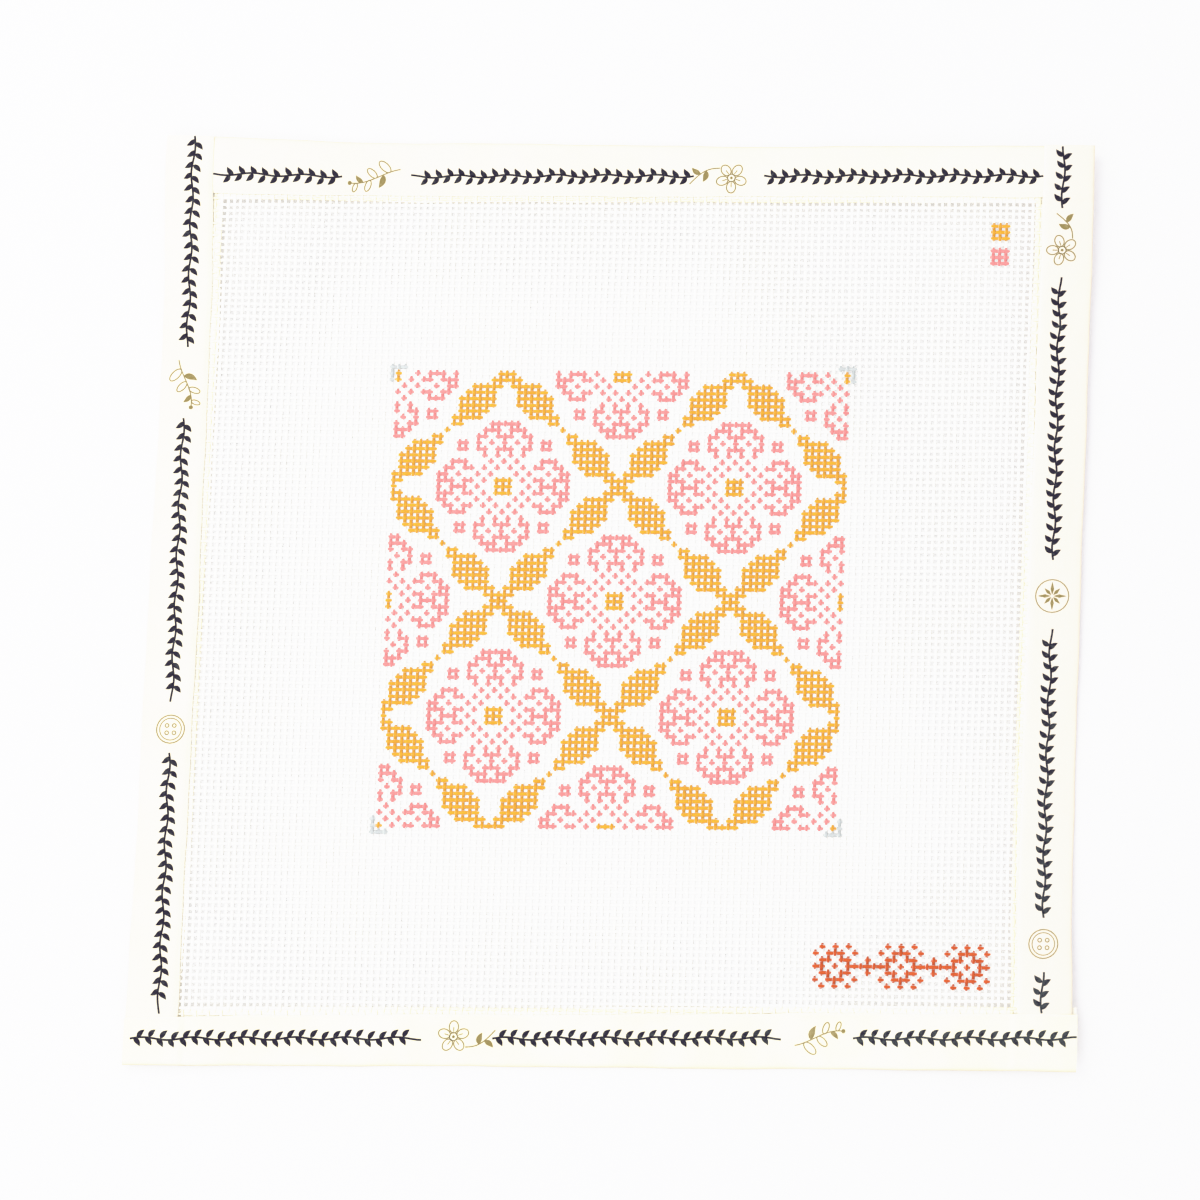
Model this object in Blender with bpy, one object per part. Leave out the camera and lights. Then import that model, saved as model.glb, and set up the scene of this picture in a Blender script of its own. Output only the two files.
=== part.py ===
"""Needlepoint canvas panel: stiff open-weave canvas with four raw edges bound in folded tape.

The panel lies on a surface, painted face up. Its middle is flat on the surface. Its edges and
corners rise a little, unevenly, as stiff canvas does.

Every piece is drawn flat first, in the canvas's own sizes: across from the left cut edge, along
from the bottom cut edge, and high above the middle of the canvas's thickness. The function lay()
then puts such a place where it lies in the world: metres, +X right, +Y towards the panel's top,
+Z up, with the origin on the surface under the panel's middle.
"""
import math
from collections import namedtuple

import bmesh
import bpy
from mathutils import Vector

MM = 0.001

# Thicknesses.
SHEET = 1.0 * MM                # canvas, and each layer of tape
GAP = 0.3 * MM                  # air between layers that lie on each other
LAYER = SHEET + GAP             # height that one layer of tape adds
FOLD_ROOM = 0.8 * MM            # from the canvas's cut edge to the inside of a tape's fold
FOLD_OUT = FOLD_ROOM + SHEET    # from the canvas's cut edge to the outside of a tape's fold

# The canvas as it was cut.
CANVAS_WIDTH = 200.6 * MM
CANVAS_LENGTH = 199.5 * MM

# The bound panel's four corners as they lie. The weave leans a little, so it is no true square.
# across, along: which corner, as shares of the panel's width and length
# x, y: where the straight sides would meet, from the middle of the panel's box
# pull_x, pull_y: how far the corner is drawn out past that
Corner = namedtuple("Corner", "across along x y pull_x pull_y")
CORNERS = (
    Corner(0.0, 0.0, -106.27 * MM, -102.06 * MM, 0.0, 0.0),
    Corner(1.0, 0.0, 97.14 * MM, -103.11 * MM, 0.7 * MM, 0.0),
    Corner(0.0, 1.0, -98.51 * MM, 101.94 * MM, -1.0 * MM, 0.8 * MM),
    Corner(1.0, 1.0, 106.45 * MM, 98.83 * MM, 0.0, 0.0),
)
PULL_REACH = 42.0 * MM          # how far in from a corner its pull is felt

# Where the panel stands off the surface.
# across, along: the highest place, as shares of the panel's width and length
# height: its height above the surface. reach: how far away the panel is down again
Lift = namedtuple("Lift", "across along height reach")
LIFTS = (
    Lift(0.00, 1.00, 1.5 * MM, 60.0 * MM),
    Lift(1.00, 1.00, 3.0 * MM, 95.0 * MM),
    Lift(1.00, 0.55, 1.2 * MM, 60.0 * MM),
    Lift(1.00, 0.00, 2.4 * MM, 62.0 * MM),
    Lift(0.00, 0.00, 0.9 * MM, 50.0 * MM),
    Lift(0.45, 1.00, 0.4 * MM, 45.0 * MM),
)
EDGE_STACK = 14.0 * MM          # width of the edge that is raised on the tape's under layer
EDGE_RAMP = 24.0 * MM           # width over which the canvas comes down from there

# The binding tapes, in the order in which they are put on.
# side: the edge that the tape folds over. Its start is the left or the bottom end
# front_*, back_*: width of the upper and of the under flap, from the outside of the fold
# past_*: how far the tape runs past the canvas's cut edge at that end
# under_start, under_end: the tape that this one is folded over at that end, if any
Tape = namedtuple(
    "Tape",
    "name side front_start front_end back_start back_end past_start past_end under_start under_end",
)
TAPES = (
    Tape("tape_top", "top", 12.9 * MM, 11.3 * MM, 13.6 * MM, 12.3 * MM, 0.0, 0.0, None, None),
    Tape("tape_left", "left", 11.4 * MM, 10.4 * MM, 11.7 * MM, 12.4 * MM,
         0.0, FOLD_OUT + 0.3 * MM, None, "tape_top"),
    Tape("tape_right", "right", 11.8 * MM, 11.2 * MM, 13.1 * MM, 12.7 * MM,
         0.0, FOLD_OUT + 0.1 * MM, None, "tape_top"),
    Tape("tape_bottom", "bottom", 10.4 * MM, 12.4 * MM, 11.9 * MM, 13.6 * MM,
         FOLD_OUT + 0.1 * MM, FOLD_OUT + 0.9 * MM, "tape_left", "tape_right"),
)
LAP_CLEAR = 0.7 * MM            # from a covered tape's flap to where the upper tape starts down
LAP_RAMP = 5.0 * MM             # length over which the upper tape comes down beside it

# Fineness of the solids.
FOLD_STEPS = 5                  # facets round the half turn of a fold
FLAP_STEPS = 2                  # facets across a flap
RAMP_STEPS = 5                  # stations along a tape's ramp at a lap
TAPE_STEP = 7.0 * MM            # distance between stations elsewhere along a tape
EDGE_STEP = 4.0 * MM            # grid of the canvas near its edges
MIDDLE_STEP = 12.0 * MM         # grid of the canvas elsewhere

# Finishes: colour, roughness.
CANVAS_WHITE = (0.92, 0.92, 0.91, 1.0)
CANVAS_ROUGHNESS = 0.85
TAPE_CREAM = (0.93, 0.90, 0.80, 1.0)
TAPE_ROUGHNESS = 0.75
CREASE_ANGLE = math.radians(40.0)


def smooth(share):
    """Ease from 0 to 1 with level ends."""
    share = min(max(share, 0.0), 1.0)
    return share * share * (3.0 - 2.0 * share)


def panel_shares(across, along):
    """Turn sizes from the canvas's cut edges into shares of the bound panel's width and length."""
    width = CANVAS_WIDTH + 2.0 * FOLD_OUT
    length = CANVAS_LENGTH + 2.0 * FOLD_OUT
    return (across + FOLD_OUT) / width, (along + FOLD_OUT) / length


def distance_to(across, along, spot):
    """Distance in the flat canvas to a Corner or a Lift."""
    spot_across = spot.across * CANVAS_WIDTH
    spot_along = spot.along * CANVAS_LENGTH
    return math.hypot(across - spot_across, along - spot_along)


def lift(across, along):
    """Height of the canvas's underside that comes from its own unevenness."""
    height = 0.0
    for spot in LIFTS:
        share = smooth(1.0 - distance_to(across, along, spot) / spot.reach)
        height += spot.height * share
    return height


def stack(from_edge):
    """Height of the canvas's underside that comes from the tape under one pair of edges."""
    return LAYER * smooth(1.0 - (from_edge - EDGE_STACK) / EDGE_RAMP)


def lay(across, along, high):
    """Place a point of the flat canvas, high above the middle of its thickness, in the world."""
    u, v = panel_shares(across, along)
    x = 0.0
    y = 0.0
    for corner in CORNERS:
        weight_u = u if corner.across else 1.0 - u
        weight_v = v if corner.along else 1.0 - v
        pull = smooth(1.0 - distance_to(across, along, corner) / PULL_REACH)
        x += weight_u * weight_v * corner.x + pull * corner.pull_x
        y += weight_u * weight_v * corner.y + pull * corner.pull_y
    underside = lift(across, along)
    underside += stack(min(across, CANVAS_WIDTH - across))
    underside += stack(min(along, CANVAS_LENGTH - along))
    return Vector((x, y, underside + 0.5 * SHEET + high))


def evenly(start, end, step):
    """Stations from start up to, but not at, end, no further apart than step."""
    count = max(1, math.ceil((end - start) / step))
    return [start + (end - start) * index / count for index in range(count)]


def canvas_stations(length):
    """Grid lines of the canvas along one side: fine near both edges, coarse between them."""
    border = EDGE_STACK + EDGE_RAMP
    stations = evenly(0.0, border, EDGE_STEP)
    stations += evenly(border, length - border, MIDDLE_STEP)
    stations += evenly(length - border, length, EDGE_STEP)
    return stations + [length]


def tape_widths(tape, share):
    """Widths of the upper and the under flap from the canvas's cut edge, at a share of the length."""
    front = tape.front_start + (tape.front_end - tape.front_start) * share
    back = tape.back_start + (tape.back_end - tape.back_start) * share
    return front - FOLD_OUT, back - FOLD_OUT


def lap_length(name):
    """Length of the level lap over the tape of that name, from the canvas's cut edge."""
    tape = next(item for item in TAPES if item.name == name)
    sizes = (tape.front_start, tape.front_end, tape.back_start, tape.back_end)
    return max(sizes) - FOLD_OUT + LAP_CLEAR


def tape_stations(tape, length):
    """Stations along a tape: fine on its ramps, coarse elsewhere."""
    start = -tape.past_start
    end = length + tape.past_end
    stations = []
    if tape.under_start:
        ramp = lap_length(tape.under_start)
        stations += evenly(start, ramp, TAPE_STEP)
        stations += evenly(ramp, ramp + LAP_RAMP, LAP_RAMP / RAMP_STEPS)
        start = ramp + LAP_RAMP
    if tape.under_end:
        ramp = length - lap_length(tape.under_end)
        stations += evenly(start, ramp - LAP_RAMP, TAPE_STEP)
        stations += evenly(ramp - LAP_RAMP, ramp, LAP_RAMP / RAMP_STEPS)
        start = ramp
    return stations + evenly(start, end, TAPE_STEP) + [end]


def tape_layers(tape, place, length):
    """How many layers of tape lie on each face of the canvas here, this tape being the last."""
    layers = 1.0
    if tape.under_start:
        past_lap = place - lap_length(tape.under_start)
        layers += smooth(1.0 - past_lap / LAP_RAMP)
    if tape.under_end:
        past_lap = length - lap_length(tape.under_end) - place
        layers += smooth(1.0 - past_lap / LAP_RAMP)
    return layers


def half_turn(reach, height, upwards):
    """Points of a fold, from one flap round to the other: (out from the cut edge, high)."""
    points = []
    for step in range(FOLD_STEPS + 1):
        angle = math.pi * (0.5 - step / FOLD_STEPS)
        if upwards:
            angle = -angle
        points.append((reach * math.cos(angle), height * math.sin(angle)))
    return points


def tape_section(tape, place, length):
    """Closed outline of the folded tape at one station: (out from the cut edge, high)."""
    front, back = tape_widths(tape, place / length)
    inside = 0.5 * SHEET + GAP + (tape_layers(tape, place, length) - 1.0) * LAYER
    outside = inside + SHEET
    outline = []
    for step in range(FLAP_STEPS):
        outline.append((-front * (1.0 - step / FLAP_STEPS), outside))
    outline += half_turn(FOLD_OUT, outside, upwards=False)
    for step in range(FLAP_STEPS):
        outline.append((-back * (step + 1) / FLAP_STEPS, -outside))
    for step in range(FLAP_STEPS):
        outline.append((-back * (1.0 - step / FLAP_STEPS), -inside))
    outline += half_turn(FOLD_ROOM, inside, upwards=True)
    for step in range(FLAP_STEPS):
        outline.append((-front * (step + 1) / FLAP_STEPS, inside))
    return outline


def tape_place(side, place, out):
    """Turn a place along an edge and a size out from it into sizes across and along the canvas."""
    if side == "left":
        return -out, place
    if side == "right":
        return CANVAS_WIDTH + out, place
    if side == "bottom":
        return place, -out
    return place, CANVAS_LENGTH + out


def bridge_rings(mesh, rings):
    """Skin closed rings of vertices one after another, and cap both ends."""
    for ring, following in zip(rings, rings[1:]):
        count = len(ring)
        for index in range(count):
            after = (index + 1) % count
            mesh.faces.new((ring[index], ring[after], following[after], following[index]))
    return rings[0], rings[-1]


def cap_fold(mesh, ring):
    """Close one end of a folded tape with a strip of faces between its outer and inner outline."""
    half = len(ring) // 2
    for index in range(half - 1):
        outer, outer_after = ring[index], ring[index + 1]
        inner, inner_after = ring[-1 - index], ring[-2 - index]
        mesh.faces.new((outer, outer_after, inner_after, inner))


def add_object(name, mesh, material, parent):
    """Make a named object of a bmesh, with its own origin, material and shading."""
    bmesh.ops.recalc_face_normals(mesh, faces=mesh.faces)
    corners = [vertex.co for vertex in mesh.verts]
    lowest = [min(corner[axis] for corner in corners) for axis in range(3)]
    highest = [max(corner[axis] for corner in corners) for axis in range(3)]
    middle = Vector((
        0.5 * (lowest[0] + highest[0]),
        0.5 * (lowest[1] + highest[1]),
        0.0,
    ))
    bmesh.ops.translate(mesh, verts=mesh.verts, vec=-middle)
    data = bpy.data.meshes.new(name)
    mesh.to_mesh(data)
    mesh.free()
    data.materials.append(material)
    data.shade_smooth()
    data.set_sharp_from_angle(angle=CREASE_ANGLE)
    piece = bpy.data.objects.new(name, data)
    bpy.context.scene.collection.objects.link(piece)
    piece.location = middle
    piece.parent = parent
    return piece


def make_canvas(material, parent):
    """The sheet of canvas: one closed slab that follows lay()."""
    mesh = bmesh.new()
    across_lines = canvas_stations(CANVAS_WIDTH)
    along_lines = canvas_stations(CANVAS_LENGTH)
    grids = []
    for high in (0.5 * SHEET, -0.5 * SHEET):
        grid = [[mesh.verts.new(lay(a, b, high)) for a in across_lines] for b in along_lines]
        grids.append(grid)
        for row, row_after in zip(grid, grid[1:]):
            for index in range(len(row) - 1):
                mesh.faces.new((row[index], row[index + 1], row_after[index + 1], row_after[index]))
    rims = []
    for grid in grids:
        rim = grid[0][:-1] + [row[-1] for row in grid[:-1]]
        rim += grid[-1][:0:-1] + [row[0] for row in grid[:0:-1]]
        rims.append(rim)
    bridge_rings(mesh, rims)
    return add_object("canvas", mesh, material, parent)


def make_tape(tape, material, parent):
    """One length of binding tape, folded over its edge of the canvas."""
    length = CANVAS_WIDTH if tape.side in ("top", "bottom") else CANVAS_LENGTH
    mesh = bmesh.new()
    rings = []
    for place in tape_stations(tape, length):
        ring = []
        for out, high in tape_section(tape, place, length):
            across, along = tape_place(tape.side, place, out)
            ring.append(mesh.verts.new(lay(across, along, high)))
        rings.append(ring)
    for end_ring in bridge_rings(mesh, rings):
        cap_fold(mesh, end_ring)
    return add_object(tape.name, mesh, material, parent)


def make_material(name, colour, roughness):
    """A plain cloth finish."""
    material = bpy.data.materials.new(name)
    material.use_nodes = True
    shader = material.node_tree.nodes["Principled BSDF"]
    shader.inputs["Base Color"].default_value = colour
    shader.inputs["Roughness"].default_value = roughness
    shader.inputs["Metallic"].default_value = 0.0
    material.diffuse_color = colour
    return material


def clear_scene():
    """Remove what the scene holds already."""
    for item in list(bpy.data.objects):
        bpy.data.objects.remove(item, do_unlink=True)


def main():
    """Build the whole panel."""
    clear_scene()
    panel = bpy.data.objects.new("panel", None)
    bpy.context.scene.collection.objects.link(panel)
    make_canvas(make_material("canvas", CANVAS_WHITE, CANVAS_ROUGHNESS), panel)
    for tape in TAPES:
        make_tape(tape, make_material(tape.name, TAPE_CREAM, TAPE_ROUGHNESS), panel)


main()
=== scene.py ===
"""Looks of the needlepoint canvas panel: its woven threads, painted chart, folded tapes and print.

Everything is drawn flat first, as in the construction: across from the canvas's left cut edge,
along from its bottom cut edge, and high above the middle of its thickness. lay() then puts it
where it lies. Sizes are in metres.
"""
import math
from collections import namedtuple

import bpy
import numpy as np
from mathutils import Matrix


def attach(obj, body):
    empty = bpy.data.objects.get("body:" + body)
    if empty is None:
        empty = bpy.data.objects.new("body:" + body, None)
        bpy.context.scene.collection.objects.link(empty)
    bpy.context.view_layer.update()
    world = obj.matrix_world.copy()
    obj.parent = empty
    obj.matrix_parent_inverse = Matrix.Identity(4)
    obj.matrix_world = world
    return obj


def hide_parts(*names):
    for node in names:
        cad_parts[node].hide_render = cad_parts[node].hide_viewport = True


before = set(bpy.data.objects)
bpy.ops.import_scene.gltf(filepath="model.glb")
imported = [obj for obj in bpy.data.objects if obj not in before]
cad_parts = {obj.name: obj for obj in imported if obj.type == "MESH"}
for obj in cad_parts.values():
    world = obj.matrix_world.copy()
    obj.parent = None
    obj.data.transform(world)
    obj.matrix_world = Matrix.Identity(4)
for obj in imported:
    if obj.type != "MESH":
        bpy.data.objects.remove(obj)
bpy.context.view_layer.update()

MM = 0.001
SEED = 18

# ---- The panel's own sizes and unevenness, as the construction has them ----

CANVAS_WIDTH = 200.6 * MM
CANVAS_LENGTH = 199.5 * MM
FOLD_OUT = 1.8 * MM             # from the canvas's cut edge to the outside of a tape's fold

# The bound panel's corners as they lie, and how far each is drawn out.
Corner = namedtuple("Corner", "across along x y pull_x pull_y")
CORNERS = (
    Corner(0.0, 0.0, -106.27 * MM, -102.06 * MM, 0.0, 0.0),
    Corner(1.0, 0.0, 97.14 * MM, -103.11 * MM, 0.7 * MM, 0.0),
    Corner(0.0, 1.0, -98.51 * MM, 101.94 * MM, -1.0 * MM, 0.8 * MM),
    Corner(1.0, 1.0, 106.45 * MM, 98.83 * MM, 0.0, 0.0),
)
PULL_REACH = 42.0 * MM

# Where the panel stands off the surface: highest place, height there, and reach.
Lift = namedtuple("Lift", "across along height reach")
LIFTS = (
    Lift(0.00, 1.00, 1.5 * MM, 60.0 * MM),
    Lift(1.00, 1.00, 3.0 * MM, 95.0 * MM),
    Lift(1.00, 0.55, 1.2 * MM, 60.0 * MM),
    Lift(1.00, 0.00, 2.4 * MM, 62.0 * MM),
    Lift(0.00, 0.00, 0.9 * MM, 50.0 * MM),
    Lift(0.45, 1.00, 0.4 * MM, 45.0 * MM),
)
EDGE_STACK = 14.0 * MM
EDGE_RAMP = 24.0 * MM

# The tapes in the order in which they are put on. Widths are from the outside of the fold.
# bow: how much narrower the upper flap is in mid-length than its ends say
# the last two: painted shade over its whole cloth, and painted shade with some grime on the outside of
# its fold, as shares
Tape = namedtuple(
    "Tape",
    "name side front_start front_end back_start back_end past_start past_end"
    " under_start under_end bow dull soiled",
)
TAPES = (
    Tape("tape_top", "top", 12.9 * MM, 11.6 * MM, 13.6 * MM, 12.3 * MM,
         0.0, 0.0, None, None, 0.6 * MM, 0.45, 0.75),
    Tape("tape_left", "left", 11.4 * MM, 10.4 * MM, 11.7 * MM, 12.4 * MM,
         0.0, FOLD_OUT - 0.2 * MM, None, "tape_top", 0.0, 0.35, 0.45),
    Tape("tape_right", "right", 11.8 * MM, 11.2 * MM, 13.1 * MM, 12.7 * MM,
         0.0, FOLD_OUT + 0.1 * MM, None, "tape_top", 0.0, 0.85, 0.12),
    Tape("tape_bottom", "bottom", 10.4 * MM, 12.4 * MM, 11.9 * MM, 13.6 * MM,
         FOLD_OUT + 0.1 * MM, FOLD_OUT + 0.9 * MM, "tape_left", "tape_right", 0.0,
         0.0, 0.9),
)

# ---- Real thicknesses, finer than the construction's ----

TAPE_SHEET = 0.25 * MM
THREAD_FLAT = 0.20 * MM         # thickness of a thread where another crosses it
CLOTH = 2.0 * THREAD_FLAT       # thickness of the weave
AIR = 0.03 * MM                 # between layers that lie on each other
LAYER = TAPE_SHEET + AIR
LAP_CLEAR = 0.25 * MM           # from a covered flap's edge to where the upper tape starts down
LAP_RAMP = 1.6 * MM             # length over which it comes down

# ---- The weave, 18 threads to the inch, a little askew in the cut ----

CENTRE_X = -3.042 * MM          # crossing of upright thread 0 and level thread 0
CENTRE_Y = -1.662 * MM
UPRIGHT_STEP = (1.41657 * MM, -0.010617 * MM)    # to the next upright thread on the right
LEVEL_STEP = (-0.05368 * MM, -1.40459 * MM)      # to the next level thread below

# How far the weave is drawn to the right and down off its even lines, at nine crossings.
Bow = namedtuple("Bow", "column row right down")
BOWS = (
    Bow(-64, -65, 0.30 * MM, 0.50 * MM),
    Bow(2, -65, 0.0, 0.30 * MM),
    Bow(67, -65, 0.05 * MM, 1.20 * MM),
    Bow(-64, 0, 0.05 * MM, -0.20 * MM),
    Bow(2, 0, 0.10 * MM, -0.05 * MM),
    Bow(67, 0, -0.05 * MM, -0.20 * MM),
    Bow(-64, 65, 0.85 * MM, 0.35 * MM),
    Bow(2, 65, -0.05 * MM, 0.20 * MM),
    Bow(67, 65, -0.30 * MM, 0.35 * MM),
)

# first, last: numbers of the threads. open_first, open_last: those that cross others in the open
# end_low, end_high: where the threads of this kind end, in numbers of the threads they cross
# coat: how much wider paint makes a thread, as a share. bare: how far paint takes its deeper colour
# between crossings
ThreadKind = namedtuple("ThreadKind", "first last open_first open_last end_low end_high coat bare")
UPRIGHT = ThreadKind(-69, 73, -64, 67, -71.2, 70.6, 0.12, 1.0)
LEVEL = ThreadKind(-71, 70, -65, 65, -69.2, 73.3, 0.22, 0.0)

HALF_WIDTH_CROSSED = 0.375 * MM # half width of a thread where another crosses it
HALF_WIDTH_FREE = 0.33 * MM     # half width between crossings
HALF_THICK_FREE = 0.13 * MM     # half thickness between crossings
END_BEND = 0.8                  # from a thread's last open crossing to where it runs straight
COVERED_RINGS = 13              # rings of a thread that lies under a tape all along
PIECES = 5                      # the threads are shared out among this many pieces
LINE_SPREAD = 0.015             # how far threads stand off their lines, in threads
WANDER_WAVES = ((9.0, 0.008), (23.0, 0.015), (61.0, 0.03))    # length and size, in threads
WIDTH_SPREAD = 0.035            # how unevenly the threads are spun, as a share of their width
WIDTH_WAVES = ((7.3, WIDTH_SPREAD), (17.9, 0.02))    # length in threads, size as such a share

# Outline of a thread: share of the half width, share of the half thickness, how well paint takes
SECTION = (
    (1.0, 0.0, 0.36),
    (0.52, 1.0, 1.0),
    (-0.52, 1.0, 1.0),
    (-1.0, 0.0, 0.36),
    (-0.52, -1.0, 0.38),
    (0.52, -1.0, 0.38),
)

# ---- The painted chart. Columns run right and rows run down, in threads ----

FIELD_COLUMN = 2                # middle column of the painted square
FIELD_HALF = 35                 # columns on each side of it, and rows below its middle row
FIELD_TOP = -36
MARK_LEFT, MARK_RIGHT = -34, 38
MARK_TOP, MARK_BOTTOM = -37, 36
MARK_ARM = 3
KEY_COLUMN, KEY_SIZE = 59, 3
KEY_GOLD_ROW, KEY_PINK_ROW = -60, -56
GARLAND_COLUMN, GARLAND_ROW = 48, 56    # middle of the row of three stars at the lower right
STAR_SPACING = 10
DIAMOND = 18                    # half diagonal of one diamond of the trellis
NODE = 2                        # reach of the knot where diamonds meet
LEAF_MIDDLE = 9.0               # a leaf's middle from the middle of a diamond's side
LEAF_HALF_LENGTH = 7.5
LEAF_HALF_WIDTH = 3.4
# An eighth of a blossom: rows out from its middle, columns up to the diagonal.
BLOSSOM = (
    "g",
    "gg",
    "..p",
    ".p.p",
    "p.p..",
    ".p.p..",
    "pp.pp.p",
    "p.p.p.pp",
    "pp.pp....",
    ".ppp......",
    "ppp........",
)
# An eighth of a star, in the same way.
STAR = (
    "r",
    ".r",
    "rr.",
    "r.r.",
)
PAINTS = "gpyr"                 # gold, pink, grey and rust: channels of the paint attribute
PAINT_DRIFT = 0.07              # how much further paint runs right and up than left and down
GLUE_FADE = 0.5 * MM            # length over which the glue of the tapes fades out of the threads
GLUE_LEAST_AT_EDGE_SHADE = 0.3                # how much of it is given at the edge of the upper flap: less, as painted light where the flap's shade falls
GLUE_RISE = 0.7 * MM            # length over which that rises to the full amount

# ---- Fineness of the tapes and their print ----

FIND_ROUNDS = 8                 # rounds in which find_flat() comes close enough
TAPE_STEP = 1.6 * MM            # between a tape's stations
LAP_STEP = 0.35 * MM            # between those on and beside its ramps
LAP_REACH = 3.0 * MM            # length of level lap before a ramp that has the finer stations
FINE_STRETCH = 6.0 * MM         # a stretch shorter than this has them
FOLD_STEPS = 10
FOLD_SQUARENESS = 0.6           # 1 is a round fold, less is flatter above and below
FLAP_SHARES = (0.15, 0.32, 0.49, 0.66, 0.83, 0.965, 1.0)     # places from the fold to the edge
EDGE_WORN = 0.18 * MM           # how much thinner the upper flap is at its very edge
PRESSED = 0.25 * MM             # how far the under flap is pressed up between the threads
UNDER_INWARD = 4.0 * MM         # place across the under flap at which its laps are reckoned
EDGE_WAVES = ((17.0 * MM, 0.05 * MM), (41.0 * MM, 0.08 * MM), (97.0 * MM, 0.10 * MM))
FOLD_WAVED = 0.8                # how much of such waves the fold has
PUCKER_WAVES = ((11.0 * MM, 0.03 * MM), (27.0 * MM, 0.06 * MM), (66.0 * MM, 0.10 * MM))
PUCKER_HEIGHT = 0.10 * MM
PUCKER_EVEN = 0.6               # the even part of the puckers, beside waves of 1 at most
PUCKER_SLANT = 0.6              # how far they slant along the tape for a step inward
TAPE_CREASE = math.radians(50.0)    # faces of a tape that meet at more than this have a sharp edge
PRINT_CREASE = math.radians(30.0)
SHADE_AND_GRIME_DROP = 4.0                 # how quickly the painted shade and grime on a fold fade in from its outside
PRINT_ABOVE = 0.025 * MM
PRINT_BELOW = 0.015 * MM

# ---- Room in the unwrapped maps, as shares of their width and of their rows' heights ----

THREAD_SPAN = (0.01, 0.96)      # a thread lengthwise
THREAD_BAND = (0.06, 0.94)      # round a thread, in its row
THREAD_CAPS = (0.97, 0.99)      # middles of a thread's two end caps
THREAD_CAP_SIZE = (0.006, 0.4)  # half width and half height of such a cap
TAPE_SPAN = (0.02, 0.94)        # a tape lengthwise
TAPE_BAND = (0.01, 0.99)        # round a tape
TAPE_CAPS = (0.955, 0.975)      # left edges of a tape's two end caps
TAPE_CAP_WIDTH = 0.012
CORNER_AFTER = (0, 0, 1, 1)     # which corners of a face are a step further on
CORNER_ASIDE = (0, 1, 1, 0)     # and which are a step further round


def between(limits, share):
    """The value at a share of the way between two limits."""
    return limits[0] + (limits[1] - limits[0]) * share


def smooth(share):
    """Ease from 0 to 1 with level ends."""
    share = np.clip(share, 0.0, 1.0)
    return share * share * (3.0 - 2.0 * share)


def arch(share):
    """Rise from 0 to 1 in the middle and fall to 0 again."""
    share = np.clip(share, 0.0, 1.0)
    return 4.0 * share * (1.0 - share)


def distance_to(across, along, spot):
    """Distance in the flat canvas to a Corner or a Lift."""
    return np.hypot(across - spot.across * CANVAS_WIDTH, along - spot.along * CANVAS_LENGTH)


def lift(across, along):
    """Height of the canvas's underside that comes from its own unevenness."""
    height = np.zeros(np.shape(across))
    for spot in LIFTS:
        share = smooth(1.0 - distance_to(across, along, spot) / spot.reach)
        height = height + spot.height * share
    return height


def stack(inward):
    """Height of the canvas's underside that comes from the tape under one pair of edges."""
    return LAYER * smooth(1.0 - (inward - EDGE_STACK) / EDGE_RAMP)


def lay(across, along, high):
    """Places of the flat canvas, high above the middle of its thickness, as they lie."""
    across, along, high = np.broadcast_arrays(across, along, high)
    u = (across + FOLD_OUT) / (CANVAS_WIDTH + 2.0 * FOLD_OUT)
    v = (along + FOLD_OUT) / (CANVAS_LENGTH + 2.0 * FOLD_OUT)
    x = np.zeros(across.shape)
    y = np.zeros(across.shape)
    for corner in CORNERS:
        weight = (u if corner.across else 1.0 - u) * (v if corner.along else 1.0 - v)
        pull = smooth(1.0 - distance_to(across, along, corner) / PULL_REACH)
        x = x + weight * corner.x + pull * corner.pull_x
        y = y + weight * corner.y + pull * corner.pull_y
    underside = lift(across, along)
    underside = underside + stack(np.minimum(across, CANVAS_WIDTH - across))
    underside = underside + stack(np.minimum(along, CANVAS_LENGTH - along))
    return np.stack((x, y, underside + 0.5 * CLOTH + high), axis=-1)


def find_flat(x, y):
    """The sizes across and along the flat canvas that lay() puts at a place in plan."""
    across = x + 0.5 * CANVAS_WIDTH
    along = y + 0.5 * CANVAS_LENGTH
    for _ in range(FIND_ROUNDS):
        here = lay(across, along, 0.0)
        across = across + (x - here[..., 0])
        along = along + (y - here[..., 1])
    return across, along


def wave_starts(random, *counts):
    """Angles at which waves start."""
    return random.uniform(0.0, 2.0 * math.pi, counts)


def waves(places, table, starts):
    """A gentle uneven line: a sum of waves of the given lengths and sizes."""
    total = np.zeros(np.shape(places))
    for start, (length, size) in zip(starts, table):
        total = total + size * np.sin(2.0 * math.pi * places / length + start)
    return total


# ---- Meshes ----

def mesh_object(name, points, faces, maps, smooth_angle=None):
    """Make an object of points, arrays of faces and UV maps, one array of corners per map."""
    mesh = bpy.data.meshes.new(name)
    corners = np.concatenate([block.ravel() for block in faces])
    sizes = np.concatenate([np.full(len(block), block.shape[1]) for block in faces])
    starts = np.concatenate(([0], np.cumsum(sizes)[:-1]))
    mesh.vertices.add(len(points))
    mesh.vertices.foreach_set("co", np.asarray(points, np.float32).ravel())
    mesh.loops.add(len(corners))
    mesh.loops.foreach_set("vertex_index", corners.astype(np.int32))
    mesh.polygons.add(len(sizes))
    mesh.polygons.foreach_set("loop_start", starts.astype(np.int32))
    mesh.update(calc_edges=True)
    for map_name, values in maps.items():
        layer = mesh.uv_layers.new(name=map_name)
        layer.data.foreach_set("uv", np.asarray(values, np.float32).ravel())
    mesh.shade_smooth()
    if smooth_angle is not None:
        mesh.set_sharp_from_angle(angle=smooth_angle)
    piece = bpy.data.objects.new(name, mesh)
    bpy.context.scene.collection.objects.link(piece)
    return piece


def mark_points(mesh, name, values):
    """Give each point of a mesh a value, or a row of four."""
    values = np.asarray(values, np.float32)
    kind, slot = ("FLOAT", "value") if values.ndim == 1 else ("FLOAT_COLOR", "color")
    attribute = mesh.attributes.new(name, kind, "POINT")
    attribute.data.foreach_set(slot, values.ravel())


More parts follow.
